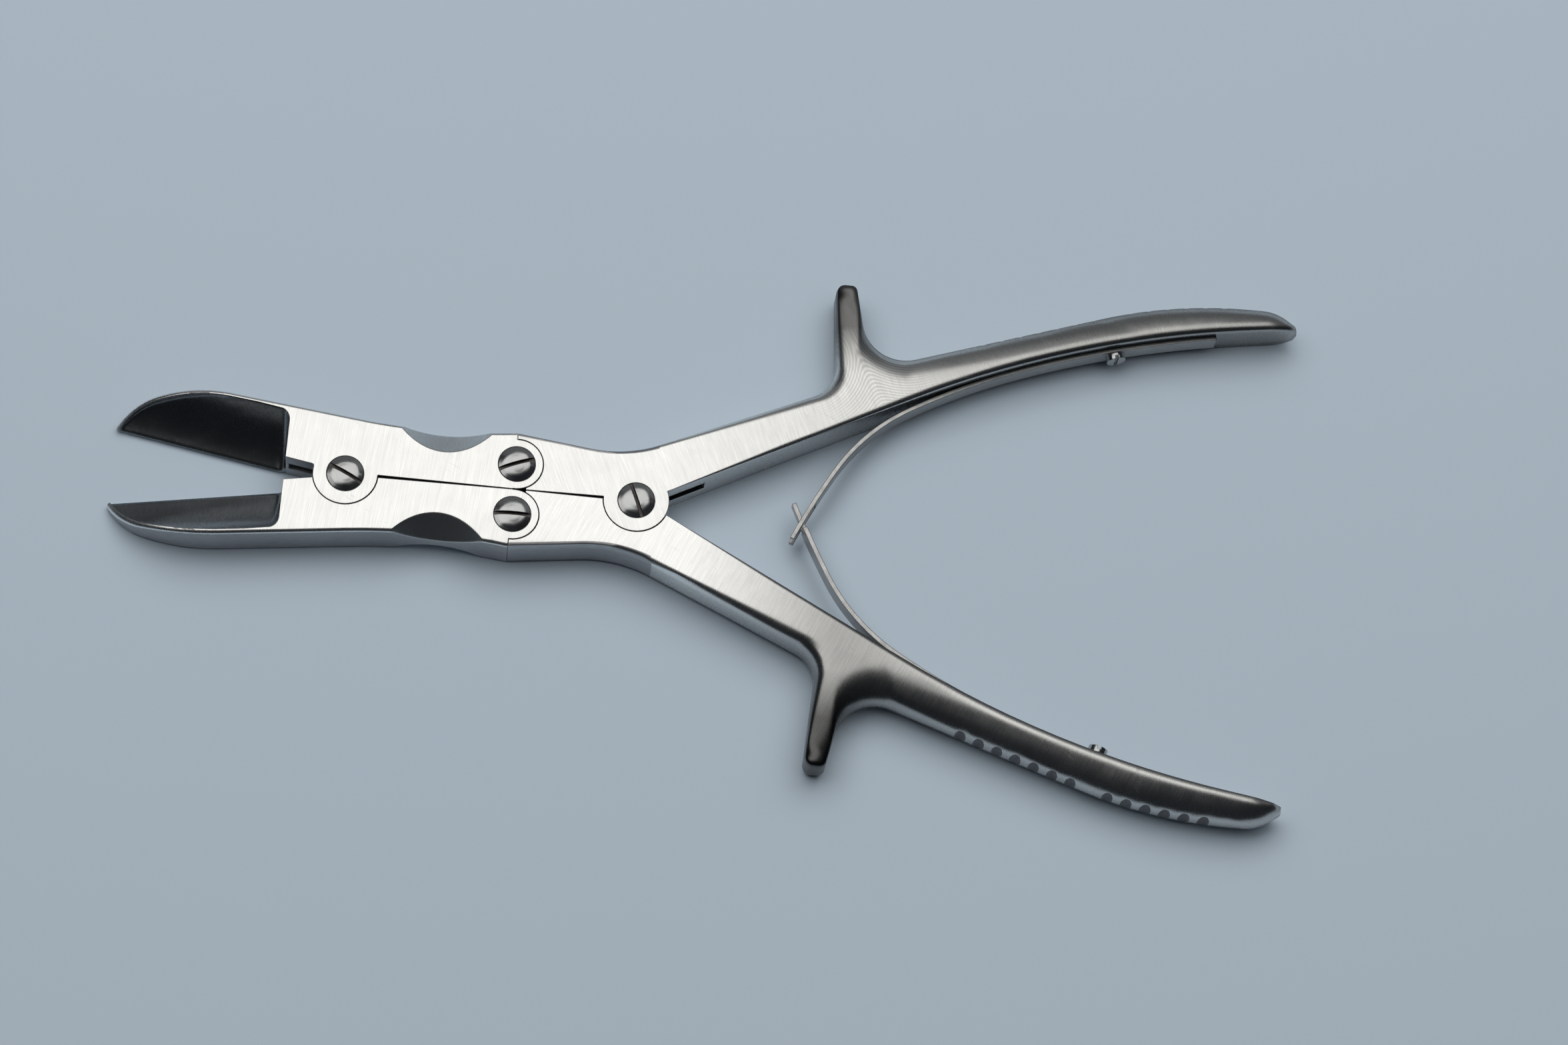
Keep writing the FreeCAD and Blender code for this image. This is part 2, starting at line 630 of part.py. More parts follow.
def leaf_path(offset):
    """One face of the upper leaf, an offset below the handle's inner face, as edges.

    It follows the handle from its tail to the lift-off and then runs free in three bows,
    the last of them until it has crossed the centre line.
    """
    inner = inner_corners()
    wire = rounded_wire(inner + [(inner[0][0], inner[-1][1], 0)], 0)
    palm_round = palm_corner()[2]
    palm = [e for e in wire.Edges if e.Curve.TypeId == "Part::GeomCircle"
            and math.isclose(e.Curve.Radius, palm_round, rel_tol=1e-6)][0]
    centre = palm.Curve.Center
    tail = math.acos((val("leaf_tail") - centre.x) / palm_round)
    heading = math.acos((val("leaf_lift_off") - centre.x) / palm_round)
    spans = [(centre, palm_round - offset, tail, heading)]
    start = centre + Vector(math.cos(heading), math.sin(heading), 0) * palm_round
    for bow in ("leaf_easy", "leaf_bow", "leaf_end"):
        reach = val(bow + "_radius")
        centre = start - Vector(math.cos(heading), math.sin(heading), 0) * reach
        if bow == "leaf_end":
            onward = math.pi - math.asin((-val("leaf_cross") - centre.y) / reach)
        else:
            onward = heading + math.radians(val(bow + "_turn"))
        spans.append((centre, reach - offset, heading, onward))
        heading = onward
        start = centre + Vector(math.cos(heading), math.sin(heading), 0) * reach
    edges = []
    for middle, size_of, a, b in spans:
        points = [middle + Vector(math.cos(t), math.sin(t), 0) * size_of for t in (a, (a + b) / 2, b)]
        edges.append(Part.Arc(*points).toShape())
    return edges


def ends_of(edges):
    """First and last point of a chain of arcs."""
    return edges[0].Vertexes[0].Point, edges[-1].Vertexes[-1].Point


def leaf_blank(side):
    """A leaf at its full width, before slot, tongue and screw hole."""
    back = leaf_path(0)
    front = leaf_path(val("leaf_thickness"))
    back_tail, back_tip = ends_of(back)
    front_tail, front_tip = ends_of(front)
    ring = back + [Part.makeLine(back_tip, front_tip)] + front + [Part.makeLine(front_tail, back_tail)]
    face = Part.Face(Part.Wire(Part.sortEdges(ring)[0]))
    low = (val("block_thickness") - val("leaf_width")) / 2
    leaf = face.extrude(Vector(0, 0, val("leaf_width")))
    leaf.translate(Vector(0, 0, low))
    return mirrored(leaf, side)


def leaf_end_box(side, length, width):
    """A bar round the last stretch of a leaf, as wide as a slot or a tongue."""
    back_tip = ends_of(leaf_path(0))[1]
    front_tip = ends_of(leaf_path(val("leaf_thickness")))[1]
    out = front_tip - back_tip
    out.normalize()
    along = Vector(-out.y, out.x, 0)
    if along.y < 0:
        along = -along
    low = (val("block_thickness") - width) / 2
    corner = back_tip - out * length - along * val("overrun")
    ring = [corner, corner + out * 2 * length]
    ring.append(ring[1] + along * (length + val("overrun")))
    ring.append(ring[2] - out * 2 * length)
    face = Part.Face(Part.makePolygon(ring + ring[:1]))
    bar = face.extrude(Vector(0, 0, width))
    bar.translate(Vector(0, 0, low))
    return mirrored(bar, side)


# Joints shared by the pieces

def fork_bores(name, pivot):
    """Seat of the head, shoulder bore and thread bore of one pivot screw."""
    centre = PIVOTS[pivot]
    return [
        disc(name + "_seat", centre, "Sizes.head_radius + Sizes.head_gap", HEAD_SEAT, ABOVE),
        disc(name + "_shoulder", centre, "Sizes.shoulder_radius + Sizes.shank_gap", SLOT_LOW, HEAD_SEAT),
        disc(name + "_thread", centre, "Sizes.thread_radius + Sizes.shank_gap", BELOW, SLOT_LOW),
    ]


def ear_seats(name, pivot, radius):
    """Round recesses above and below a tongue, for the ears of a fork."""
    centre = PIVOTS[pivot]
    room = f"{radius} + Sizes.ear_gap"
    return [
        disc(name + "_low", centre, room, BELOW, TONGUE_LOW),
        disc(name + "_high", centre, room, TONGUE_HIGH, ABOVE),
    ]


def tongue(name, pivot, radius):
    return disc(name, PIVOTS[pivot], radius, TONGUE_LOW, TONGUE_HIGH)


def bore(name, pivot, gap):
    """Plain running bore through a tongue."""
    return disc(name, PIVOTS[pivot], f"Sizes.shoulder_radius + Sizes.{gap}", BELOW, ABOVE)


def saw_cut(name, centre, radius):
    """Slot of a slitting saw between the cheeks of a fork."""
    return disc(name, centre, radius, SLOT_LOW, SLOT_HIGH)


FRONT_SAW = ("-Sizes.pivot_span - Sizes.saw_ahead_front", "-Sizes.saw_drop")
REAR_SAW = ("Sizes.saw_behind_rear", "-Sizes.saw_drop")


def make_jaw_upper():
    """Upper jaw: forks at the front pivot and, on its tail, at the upper link."""
    blank = solid_feature("jaw_upper_blank", jaw_blank(UPPER))
    front = disc("jaw_upper_front_ear", PIVOTS["front"], "Sizes.front_ear_radius", "0", FACE)
    tail = disc("jaw_upper_tail_ear", PIVOTS["link_upper"], "Sizes.link_ear_radius", "0", FACE)
    solid = fused("jaw_upper_solid", [blank, front, tail])
    cutters = [
        saw_cut("jaw_upper_saw", FRONT_SAW, "Sizes.saw_radius_front"),
        saw_cut("jaw_upper_tail_slot", PIVOTS["link_upper"], "Sizes.link_ear_radius + Sizes.ear_gap"),
        scoop("jaw_upper_scoop_top", UPPER, 1),
        scoop("jaw_upper_scoop_bottom", UPPER, -1),
    ]
    cutters += fork_bores("jaw_upper_front", "front") + fork_bores("jaw_upper_tail", "link_upper")
    return without("jaw_upper", solid, cutters)


def make_jaw_lower():
    """Lower jaw: tongue at the front pivot and a forked tail at the lower link."""
    blank = solid_feature("jaw_lower_blank", jaw_blank(LOWER))
    front = tongue("jaw_lower_tongue", "front", "Sizes.front_ear_radius")
    tail = disc("jaw_lower_tail_ear", PIVOTS["link_lower"], "Sizes.link_ear_radius", "0", FACE)
    solid = fused("jaw_lower_solid", [blank, front, tail])
    cutters = [
        saw_cut("jaw_lower_tail_slot", PIVOTS["link_lower"], "Sizes.link_ear_radius + Sizes.ear_gap"),
        scoop("jaw_lower_scoop_top", LOWER, 1),
        scoop("jaw_lower_scoop_bottom", LOWER, -1),
        bore("jaw_lower_bore", "front", "bore_gap"),
    ]
    cutters += ear_seats("jaw_lower_seat", "front", "Sizes.front_ear_radius")
    cutters += fork_bores("jaw_lower_tail", "link_lower")
    return without("jaw_lower", solid, cutters)


def leaf_screw_place():
    """Where the upper leaf screw stands on the inner face, and the way it drives in."""
    back = leaf_path(0)[0]
    centre = back.Curve.Center
    across = math.sqrt(back.Curve.Radius ** 2 - (val("leaf_screw_along") - centre.x) ** 2)
    foot = Vector(val("leaf_screw_along"), centre.y + across, val("block_thickness") / 2)
    inward = foot - Vector(centre.x, centre.y, foot.z)
    inward.normalize()
    return foot, inward


def leaf_screw_hole(side, depth):
    """Hole of the leaf screw, through the leaf and into the handle."""
    foot, inward = leaf_screw_place()
    start = foot - inward * (val("leaf_thickness") + val("overrun"))
    length = val("leaf_thickness") + val("overrun") + depth
    radius = val("leaf_screw_radius") + val("shank_gap")
    return mirrored(Part.makeCylinder(radius, length, start, inward), side)


def make_handle_upper():
    """Upper handle: tongue at the upper link, fork round the rear pivot."""
    blank = solid_feature("handle_upper_blank", handle_blank(UPPER))
    front = tongue("handle_upper_tongue", "link_upper", "Sizes.link_ear_radius")
    rear = disc("handle_upper_ear", PIVOTS["rear"], "Sizes.rear_ear_radius", "0", FACE)
    solid = fused("handle_upper_solid", [blank, front, rear])
    cutters = [
        saw_cut("handle_upper_saw", REAR_SAW, "Sizes.saw_radius_rear"),
        bore("handle_upper_bore", "link_upper", "link_bore_gap"),
        solid_feature("handle_upper_notches", grip_notches(UPPER)),
        solid_feature("handle_upper_hole", leaf_screw_hole(UPPER, val("leaf_screw_reach"))),
    ]
    cutters += ear_seats("handle_upper_seat", "link_upper", "Sizes.link_ear_radius")
    cutters += fork_bores("handle_upper_rear", "rear")
    return without("handle_upper", solid, cutters)


def make_handle_lower():
    """Lower handle: tongues at the lower link and at the rear pivot."""
    blank = solid_feature("handle_lower_blank", handle_blank(LOWER))
    front = tongue("handle_lower_link_tongue", "link_lower", "Sizes.link_ear_radius")
    rear = tongue("handle_lower_rear_tongue", "rear", "Sizes.rear_ear_radius")
    solid = fused("handle_lower_solid", [blank, front, rear])
    cutters = [
        bore("handle_lower_link_bore", "link_lower", "bore_gap"),
        bore("handle_lower_rear_bore", "rear", "bore_gap"),
        solid_feature("handle_lower_notches", grip_notches(LOWER)),
        solid_feature("handle_lower_hole", leaf_screw_hole(LOWER, val("leaf_screw_reach"))),
    ]
    cutters += ear_seats("handle_lower_link_seat", "link_lower", "Sizes.link_ear_radius")
    cutters += ear_seats("handle_lower_rear_seat", "rear", "Sizes.rear_ear_radius")
    return without("handle_lower", solid, cutters)


def make_pivot_screw(name, pivot, turn):
    """Shouldered pivot screw with a domed, slotted head, threaded end flush below."""
    centre = PIVOTS[pivot]
    thread = disc(name + "_thread", centre, "Sizes.thread_radius", "0", SLOT_LOW)
    shoulder = disc(name + "_shoulder", centre, "Sizes.shoulder_radius", SLOT_LOW, HEAD_SEAT)
    head = disc(name + "_head", centre, "Sizes.head_radius", HEAD_SEAT, FACE)
    rings = [("Sizes.head_radius", FACE), ("Sizes.crown_radius", FACE + " + Sizes.crown_height"),
             ("Sizes.crown_flat", FACE + " + Sizes.dome_height")]
    crown = []
    for number, (low, high) in enumerate(zip(rings, rings[1:])):
        taper = doc.addObject("Part::Cone", f"{name}_taper_{number}")
        taper.setExpression("Radius1", low[0])
        taper.setExpression("Radius2", high[0])
        taper.setExpression("Height", f"({high[1]}) - ({low[1]})")
        taper.setExpression("Placement.Base.x", centre[0])
        taper.setExpression("Placement.Base.y", centre[1])
        taper.setExpression("Placement.Base.z", low[1])
        crown.append(taper)
    slot = doc.addObject("Part::Box", name + "_slot")
    slot.setExpression("Length", "4 * Sizes.head_radius")
    slot.setExpression("Width", "Sizes.driver_width")
    slot.setExpression("Height", "Sizes.driver_depth + Sizes.overrun")
    slot.setExpression("Placement.Rotation.Angle", f"Sizes.{turn} * 1 deg")
    lie = f"(Sizes.{turn} * 1 deg)"
    back, half = "2 * Sizes.head_radius", "Sizes.driver_width / 2"
    slot.setExpression("Placement.Base.x", f"{centre[0]} - {back} * cos{lie} + {half} * sin{lie}")
    slot.setExpression("Placement.Base.y", f"{centre[1]} - {back} * sin{lie} - {half} * cos{lie}")
    slot.setExpression("Placement.Base.z", FACE + " + Sizes.dome_height - Sizes.driver_depth")
    return without(name, fused(name + "_solid", [thread, shoulder, head] + crown), [slot])


def make_leaf(name, side):
    """Leaf spring: the upper one forked at its end, the lower one drawn to a tongue."""
    blank = solid_feature(name + "_blank", leaf_blank(side))
    hole = solid_feature(name + "_hole", leaf_screw_hole(side, val("overrun")))
    if side == UPPER:
        slot = leaf_end_box(side, val("fork_slot_length"), val("fork_slot_width"))
        return without(name, blank, [hole, solid_feature(name + "_slot", slot)])
    wide = leaf_end_box(side, val("tongue_length"), 2 * val("leaf_width"))
    waste = wide.cut(leaf_end_box(side, val("tongue_length") + val("overrun"), val("tongue_width")))
    return without(name, blank, [hole, solid_feature(name + "_sides", waste)])


def make_leaf_screw(name, side):
    """Slotted screw that holds a leaf on the inner face of its handle."""
    foot, inward = leaf_screw_place()
    seat = foot - inward * val("leaf_thickness")
    reach = val("leaf_thickness") + val("leaf_screw_reach")
    shank = Part.makeCylinder(val("leaf_screw_radius"), reach, seat, inward)
    head = Part.makeCylinder(val("leaf_head_radius"), val("leaf_head_height"), seat, -inward)
    top = seat - inward * val("leaf_head_height")
    upright = Vector(0, 0, 1)
    across = inward.cross(upright)
    wide, deep, long = val("driver_width"), val("leaf_driver_depth"), 4 * val("leaf_head_radius")
    corner = top - inward * val("overrun") - upright * (long / 2) - across * (wide / 2)
    ring = [corner, corner + upright * long]
    ring.append(ring[1] + across * wide)
    ring.append(ring[2] - upright * long)
    slot = Part.Face(Part.makePolygon(ring + ring[:1])).extrude(inward * (deep + val("overrun")))
    return solid_feature(name, mirrored(shank.fuse(head).cut(slot), side))


PIECES = [
    make_jaw_upper(),
    make_jaw_lower(),
    make_handle_upper(),
    make_handle_lower(),
    make_pivot_screw("front_pivot_screw", "front", "front_driver_turn"),
    make_pivot_screw("upper_link_screw", "link_upper", "upper_driver_turn"),
    make_pivot_screw("lower_link_screw", "link_lower", "lower_driver_turn"),
    make_pivot_screw("rear_pivot_screw", "rear", "rear_driver_turn"),
    make_leaf("spring_leaf_upper", UPPER),
    make_leaf("spring_leaf_lower", LOWER),
    make_leaf_screw("spring_screw_upper", UPPER),
    make_leaf_screw("spring_screw_lower", LOWER),
]
doc.recompute()

faults = [o.Name for o in doc.Objects if "Invalid" in o.State or "Error" in o.State]
for piece in PIECES:
    if piece.Shape.isNull() or not piece.Shape.isValid() or len(piece.Shape.Solids) != 1:
        faults.append(piece.Label)
if faults:
    raise RuntimeError("faulty: " + ", ".join(faults))

os.makedirs("parts", exist_ok=True)
for piece in PIECES:
    piece.Shape.exportStep(f"parts/{piece.Label}.step")
    print(piece.Label, round(piece.Shape.Volume, 1))
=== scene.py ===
import math

import bmesh
import bpy
from mathutils import Matrix, Vector


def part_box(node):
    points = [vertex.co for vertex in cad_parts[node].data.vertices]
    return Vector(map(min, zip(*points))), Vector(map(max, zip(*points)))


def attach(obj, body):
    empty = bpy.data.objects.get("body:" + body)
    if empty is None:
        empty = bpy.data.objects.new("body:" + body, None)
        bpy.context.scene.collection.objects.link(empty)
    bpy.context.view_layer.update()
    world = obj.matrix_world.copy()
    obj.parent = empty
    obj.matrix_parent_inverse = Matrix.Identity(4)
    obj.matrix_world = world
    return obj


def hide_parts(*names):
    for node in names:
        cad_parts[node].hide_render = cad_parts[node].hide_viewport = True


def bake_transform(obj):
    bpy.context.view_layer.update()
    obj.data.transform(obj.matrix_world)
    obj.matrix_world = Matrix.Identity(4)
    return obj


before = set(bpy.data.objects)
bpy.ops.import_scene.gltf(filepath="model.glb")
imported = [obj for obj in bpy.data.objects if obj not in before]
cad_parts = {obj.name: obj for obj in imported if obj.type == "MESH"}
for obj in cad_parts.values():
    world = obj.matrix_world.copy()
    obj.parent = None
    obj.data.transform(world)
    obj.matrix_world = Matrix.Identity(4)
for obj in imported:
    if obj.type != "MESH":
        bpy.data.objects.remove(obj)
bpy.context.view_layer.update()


# Jaws: two blades forged in stainless steel and ground flat on both faces, brushed
# across their length. Each is hollow ground behind its cutting edge and scooped on its
# back, with a fork or a tongue milled in it for each pivot.

MM = 0.001
BRIGHT_FLAT = (0.86, 0.86, 0.845)
DARK_FLAT = (0.77, 0.77, 0.76)


def add(tree, kind, **values):
    """A new node with its settings."""
    node = tree.nodes.new(kind)
    for name, value in values.items():
        setattr(node, name, value)
    return node


def stretched(tree, scale, turn=0.0):
    """Object coordinates turned about Z and scaled, so that noise drawn on them is streaked."""
    where = add(tree, "ShaderNodeTexCoord")
    turned = add(tree, "ShaderNodeMapping")
    turned.inputs["Rotation"].default_value = (0, 0, turn)
    tree.links.new(where.outputs["Object"], turned.inputs["Vector"])
    scaled = add(tree, "ShaderNodeMapping")
    scaled.inputs["Scale"].default_value = scale
    tree.links.new(turned.outputs["Vector"], scaled.inputs["Vector"])
    return scaled.outputs["Vector"]


def noise(tree, vector, detail=4.0, roughness=0.55):
    """Noise with about one blot for each unit of the vector."""
    texture = add(tree, "ShaderNodeTexNoise")
    texture.inputs["Scale"].default_value = 1.0
    texture.inputs["Detail"].default_value = detail
    texture.inputs["Roughness"].default_value = roughness
    tree.links.new(vector, texture.inputs["Vector"])
    return texture.outputs["Fac"]


def spread(tree, value, low, high, to_low, to_high):
    """A value mapped from one range to another, clamped."""
    node = add(tree, "ShaderNodeMapRange")
    limits = (("From Min", low), ("From Max", high), ("To Min", to_low), ("To Max", to_high))
    for name, number in limits:
        node.inputs[name].default_value = number
    tree.links.new(value, node.inputs["Value"])
    return node.outputs["Result"]


def maths(tree, operation, *values):
    """The result of a sum on numbers or on values of other nodes."""
    node = add(tree, "ShaderNodeMath", operation=operation)
    for slot, value in zip(node.inputs, values):
        if isinstance(value, (int, float)):
            slot.default_value = value
        else:
            tree.links.new(value, slot)
    return node.outputs["Value"]


def mixed(tree, factor, a, b):
    """A blend of two colours."""
    node = add(tree, "ShaderNodeMix", data_type="RGBA")
    tree.links.new(factor, node.inputs["Factor"])
    node.inputs["A"].default_value = (*a, 1)
    node.inputs["B"].default_value = (*b, 1)
    return node.outputs["Result"]


def dimmed(tree, colour, factor):
    """A colour times a grey factor."""
    grey = add(tree, "ShaderNodeCombineColor")
    for channel in ("Red", "Green", "Blue"):
        tree.links.new(factor, grey.inputs[channel])
    node = add(tree, "ShaderNodeMix", data_type="RGBA", blend_type="MULTIPLY")
    node.inputs["Factor"].default_value = 1.0
    tree.links.new(colour, node.inputs["A"])
    tree.links.new(grey.outputs["Color"], node.inputs["B"])
    return node.outputs["Result"]


def scratches(tree):
    """Sparse hairlines: thin contour lines of a streaked noise, broken up by another."""
    contour = 0.5
    line_width = 0.012
    lines = noise(tree, stretched(tree, (60, 900, 300), turn=0.5), detail=1.0)
    near = maths(tree, "ABSOLUTE", maths(tree, "SUBTRACT", lines, contour))
    line = spread(tree, near, 0.0, line_width, 1.0, 0.0)
    patches = noise(tree, stretched(tree, (90, 90, 90)), detail=2.0)
    return maths(tree, "MULTIPLY", line, spread(tree, patches, 0.52, 0.62, 0.0, 1.0))


def metal(name):
    """An empty metal material, its node tree and its shader."""
    material = bpy.data.materials.new(name)
    material.use_nodes = True
    shader = material.node_tree.nodes["Principled BSDF"]
    shader.inputs["Metallic"].default_value = 1.0
    return material, material.node_tree, shader


def raised(tree, shader, height, strength, edge):
    """Relief on a normal that turns over the edges, as polishing leaves them. The edge
    is how far in it turns: a distance, or a function of the tree that gives one."""
    eased = add(tree, "ShaderNodeBevel", samples=16)
    if callable(edge):
        tree.links.new(edge(tree), eased.inputs["Radius"])
    else:
        eased.inputs["Radius"].default_value = edge
    relief = add(tree, "ShaderNodeBump")
    relief.inputs["Strength"].default_value = strength
    relief.inputs["Distance"].default_value = 0.02 * MM
    tree.links.new(height, relief.inputs["Height"])
    tree.links.new(eased.outputs["Normal"], relief.inputs["Normal"])
    tree.links.new(relief.outputs["Normal"], shader.inputs["Normal"])


def steel(name, bright, dark, rough, grain, turn=0.0, bump=0.1, edge=0.3 * MM, painted_dimming=None):
    """Stainless steel with a grain: fine streaks in tone, roughness and height, soft
    smudges from handling, and a few hairline scratches.

    grain is the number of streaks in a metre along the turned X and Y and along Z.
    An optional function of the tree may give a factor that dims the colour along the piece:
    painted shade, standing in for darker reflections.
    """
    material, tree, shader = metal(name)
    streaks = noise(tree, stretched(tree, grain, turn), detail=6.0, roughness=0.6)
    smudges = noise(tree, stretched(tree, (70, 55, 70), turn=0.4), detail=3.0)
    clouds = noise(tree, stretched(tree, (260, 190, 260), turn=1.1), detail=4.0)
    marks = scratches(tree)
    worn = maths(tree, "MULTIPLY_ADD", clouds, 0.15, maths(tree, "MULTIPLY", smudges, 0.25))
    tone = maths(tree, "MULTIPLY_ADD", streaks, 0.6, worn)
    colour = mixed(tree, spread(tree, tone, 0.38, 0.62, 0, 1), dark, bright)
    # Painted shade: the colour is dimmed along the piece where its reflections are darker.
    if painted_dimming:
        colour = dimmed(tree, colour, painted_dimming(tree))
    tree.links.new(colour, shader.inputs["Base Color"])
    base = spread(tree, tone, 0.35, 0.65, rough * 1.2, rough * 0.85)
    smeared = maths(tree, "ADD", base, spread(tree, smudges, 0.45, 0.75, 0.0, rough * 0.3))
    tree.links.new(maths(tree, "MULTIPLY_ADD", marks, 0.1, smeared), shader.inputs["Roughness"])
    raised(tree, shader, maths(tree, "MULTIPLY_ADD", marks, -0.3, streaks), bump, edge)
    return material


def shown(node, name, materials, choose, corner):
    """A merged, smooth-shaded copy of a CAD node that stands for it.

    choose(centre, normal, face) gives the number of the material of each face, with the
    centre in millimetres. Edges that bend by more than the corner, in degrees, stay sharp.
    """
    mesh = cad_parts[node].data.copy()
    mesh.name = name
    piece = bpy.data.objects.new(name, mesh)
    bpy.context.scene.collection.objects.link(piece)
    mesh.materials.clear()
    for material in materials:
        mesh.materials.append(material)
    shape = bmesh.new()
    shape.from_mesh(mesh)
    bmesh.ops.remove_doubles(shape, verts=shape.verts, dist=0.0005 * MM)
    shape.normal_update()
    for face in shape.faces:
        face.smooth = True
        face.material_index = choose(face.calc_center_median() / MM, face.normal, face)
    for edge in shape.edges:
        edge.smooth = edge.calc_face_angle(0) < math.radians(corner)
    shape.to_mesh(mesh)
    shape.free()
    weighted = piece.modifiers.new("flat faces stay flat", "WEIGHTED_NORMAL")
    weighted.keep_sharp = True
    weighted.weight = 80
    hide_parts(node)
    return piece


face_steel = steel(
    "brushed_face", BRIGHT_FLAT, DARK_FLAT,
    rough=0.26, grain=(4200, 110, 600), turn=0.10, bump=0.06)
wall_steel = steel(
    "satin_wall", (0.50, 0.50, 0.51), (0.38, 0.38, 0.40),
    rough=0.36, grain=(500, 500, 5000))
# The hollow's polished steel is coloured dark: a painted dark reflection of the room, over its
# real grain and roughness.
hollow_painted_dark = steel(
    "hollow_grind_painted_dark", (0.29, 0.30, 0.31), (0.19, 0.20, 0.21),
    rough=0.24, grain=(5000, 300, 900), turn=0.05, bump=0.10, edge=1.1 * MM)
scoop_steel = steel(
    "scoop_grind", (0.74, 0.74, 0.73), (0.60, 0.60, 0.60),
    rough=0.30, grain=(4600, 300, 900), bump=0.12, edge=0.9 * MM)
cut_steel = steel(
    "fork_inside", (0.5, 0.5, 0.5), (0.36, 0.36, 0.37),
    rough=0.45, grain=(900, 900, 2500))

# In millimetres: along the jaw from the rear pivot, up from the resting plane, and out
# from the middle line.
THICK = 10.5
HOLLOW_FROM = -78
HEEL_FROM = -81
RIM_TOP = 0.9
SCOOP_FROM = -58
SCOOP_TO = -29
SCOOP_OUT = 7


def in_fork(centre):
    """Whether a level face lies in a fork, away from the top and the underside."""
    return 0.2 < centre.z < THICK - 0.2


def jaw_finish(side):
    """Finish of each face of a jaw: 0 flat faces, 1 walls, 2 hollow with painted dark
    reflection, 3 scoop, 4 fork.
    """
    def choose(centre, normal, face):
        inward = normal.y * side
        if centre.x < HOLLOW_FROM and RIM_TOP < centre.z < THICK - 0.1:
            heel = normal.x < -0.5 and centre.x > HEEL_FROM and inward < 0.3
            upward = inward < -0.04 and normal.z > 0.02
            beside = inward < -0.3 and centre.z > RIM_TOP + 0.2
            if heel or upward or beside:
                return 2
        if abs(normal.z) > 0.97 and in_fork(centre):
            return 4
        sloping = 0.55 < abs(normal.z) < 0.95
        if sloping and SCOOP_FROM < centre.x < SCOOP_TO and abs(centre.y) > SCOOP_OUT:
            return 3
        if abs(normal.z) > 0.25:
            return 0
        return 1
    return choose


jaw_materials = [face_steel, wall_steel, hollow_painted_dark, scoop_steel, cut_steel]
for half, side in (("upper", 1), ("lower", -1)):
    body = "jaw_" + half
    jaw = shown(body, half + "_jaw", jaw_materials, jaw_finish(side), corner=32.0)
    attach(jaw, body)


# Handles: forged in the same steel. They are ground flat beside the pivots and polished
# rounder towards the grip, with a finger horn and grip notches ground into the back.
# Their colour darkens towards the grip and the horn's tip: painted shade. The polishing
# wheel left fine lines round the foot of the upper horn.

# Places in millimetres from the rear pivot. Each round at the horn's root has its centre
# and its radius.
HORN_ROOT_ROUNDS = (((34.4, 37.15, THICK), 8.0), ((57.2, 50.7, THICK), 9.5))
HORN_FOOT = (51.0, 35.0, THICK)
HORN_TIP = (43.6, 57.6, THICK / 2)
WHEEL_LINE_GAP = 0.6614 * MM


def along_piece(tree, start, end, at_start, at_end):
    """A value that changes between two distances behind the rear pivot, in millimetres."""
    where = add(tree, "ShaderNodeTexCoord")
    parts = add(tree, "ShaderNodeSeparateXYZ")
    tree.links.new(where.outputs["Object"], parts.inputs["Vector"])
    return spread(tree, parts.outputs["X"], start * MM, end * MM, at_start, at_end)


def distance_from(tree, place):
    """Distance from a place given in millimetres."""
    where = add(tree, "ShaderNodeTexCoord")
    node = add(tree, "ShaderNodeVectorMath", operation="DISTANCE")
    tree.links.new(where.outputs["Object"], node.inputs[0])
    node.inputs[1].default_value = Vector(place) * MM
    return node.outputs["Value"]


def wheel_lines(tree):
    """Lines that run round both roots of the horn and rise between them, fading out
    away from its foot."""
    (front, front_round), (rear, rear_round) = HORN_ROOT_ROUNDS
    to_front = maths(tree, "SUBTRACT", distance_from(tree, front), front_round * MM)
    to_rear = maths(tree, "SUBTRACT", distance_from(tree, rear), rear_round * MM)
    off_edge = maths(tree, "SMOOTH_MIN", to_front, to_rear, 4 * MM)
    waver = noise(tree, stretched(tree, (110, 110, 110)), detail=2.0)
    steady = maths(tree, "MULTIPLY", off_edge, math.tau / WHEEL_LINE_GAP)
    turns = maths(tree, "MULTIPLY_ADD", waver, 3.0, steady)
    near = spread(tree, distance_from(tree, HORN_FOOT), 5 * MM, 17 * MM, 1.0, 0.0)
    return maths(tree, "MULTIPLY", maths(tree, "SINE", turns), near)


def polished_edge(tree):
    """The wheel rounds the handle further in towards the grip."""
    beside_pivot = along_piece(tree, 8, 32, at_start=0.3 * MM, at_end=1.7 * MM)
    more = along_piece(tree, 40, 85, at_start=0.0, at_end=1.4 * MM)
    return maths(tree, "ADD", beside_pivot, more)


def horn_painted_shade(tree, side):
    """Painted shade: the horn's colour is darker towards its tip, where it mirrors the dark room
    beyond the soft box.
    """
    tip = (HORN_TIP[0], HORN_TIP[1] * side, HORN_TIP[2])
    return spread(tree, distance_from(tree, tip), 12 * MM, 23 * MM, 0.24, 1.0)


def upper_painted_shade_with_lines(tree):
    """Painted shade: darker towards the grip and the horn's tip. The wheel's lines are the
    steel's own.
    """
    lines = maths(tree, "MULTIPLY_ADD", wheel_lines(tree), 0.15, 1.0)
    bar = along_piece(tree, 6, 95, at_start=1.0, at_end=0.50)
    return maths(tree, "MULTIPLY", maths(tree, "MULTIPLY", bar, horn_painted_shade(tree, 1)), lines)


def lower_painted_shade(tree):
    """Painted shade: darkest beside the horn, and lighter again at the grip."""
    bar = along_piece(tree, 12, 46, at_start=1.0, at_end=0.44)
    grip = along_piece(tree, 52, 80, at_start=0.0, at_end=0.22)
    return maths(tree, "MULTIPLY", maths(tree, "ADD", bar, grip), horn_painted_shade(tree, -1))


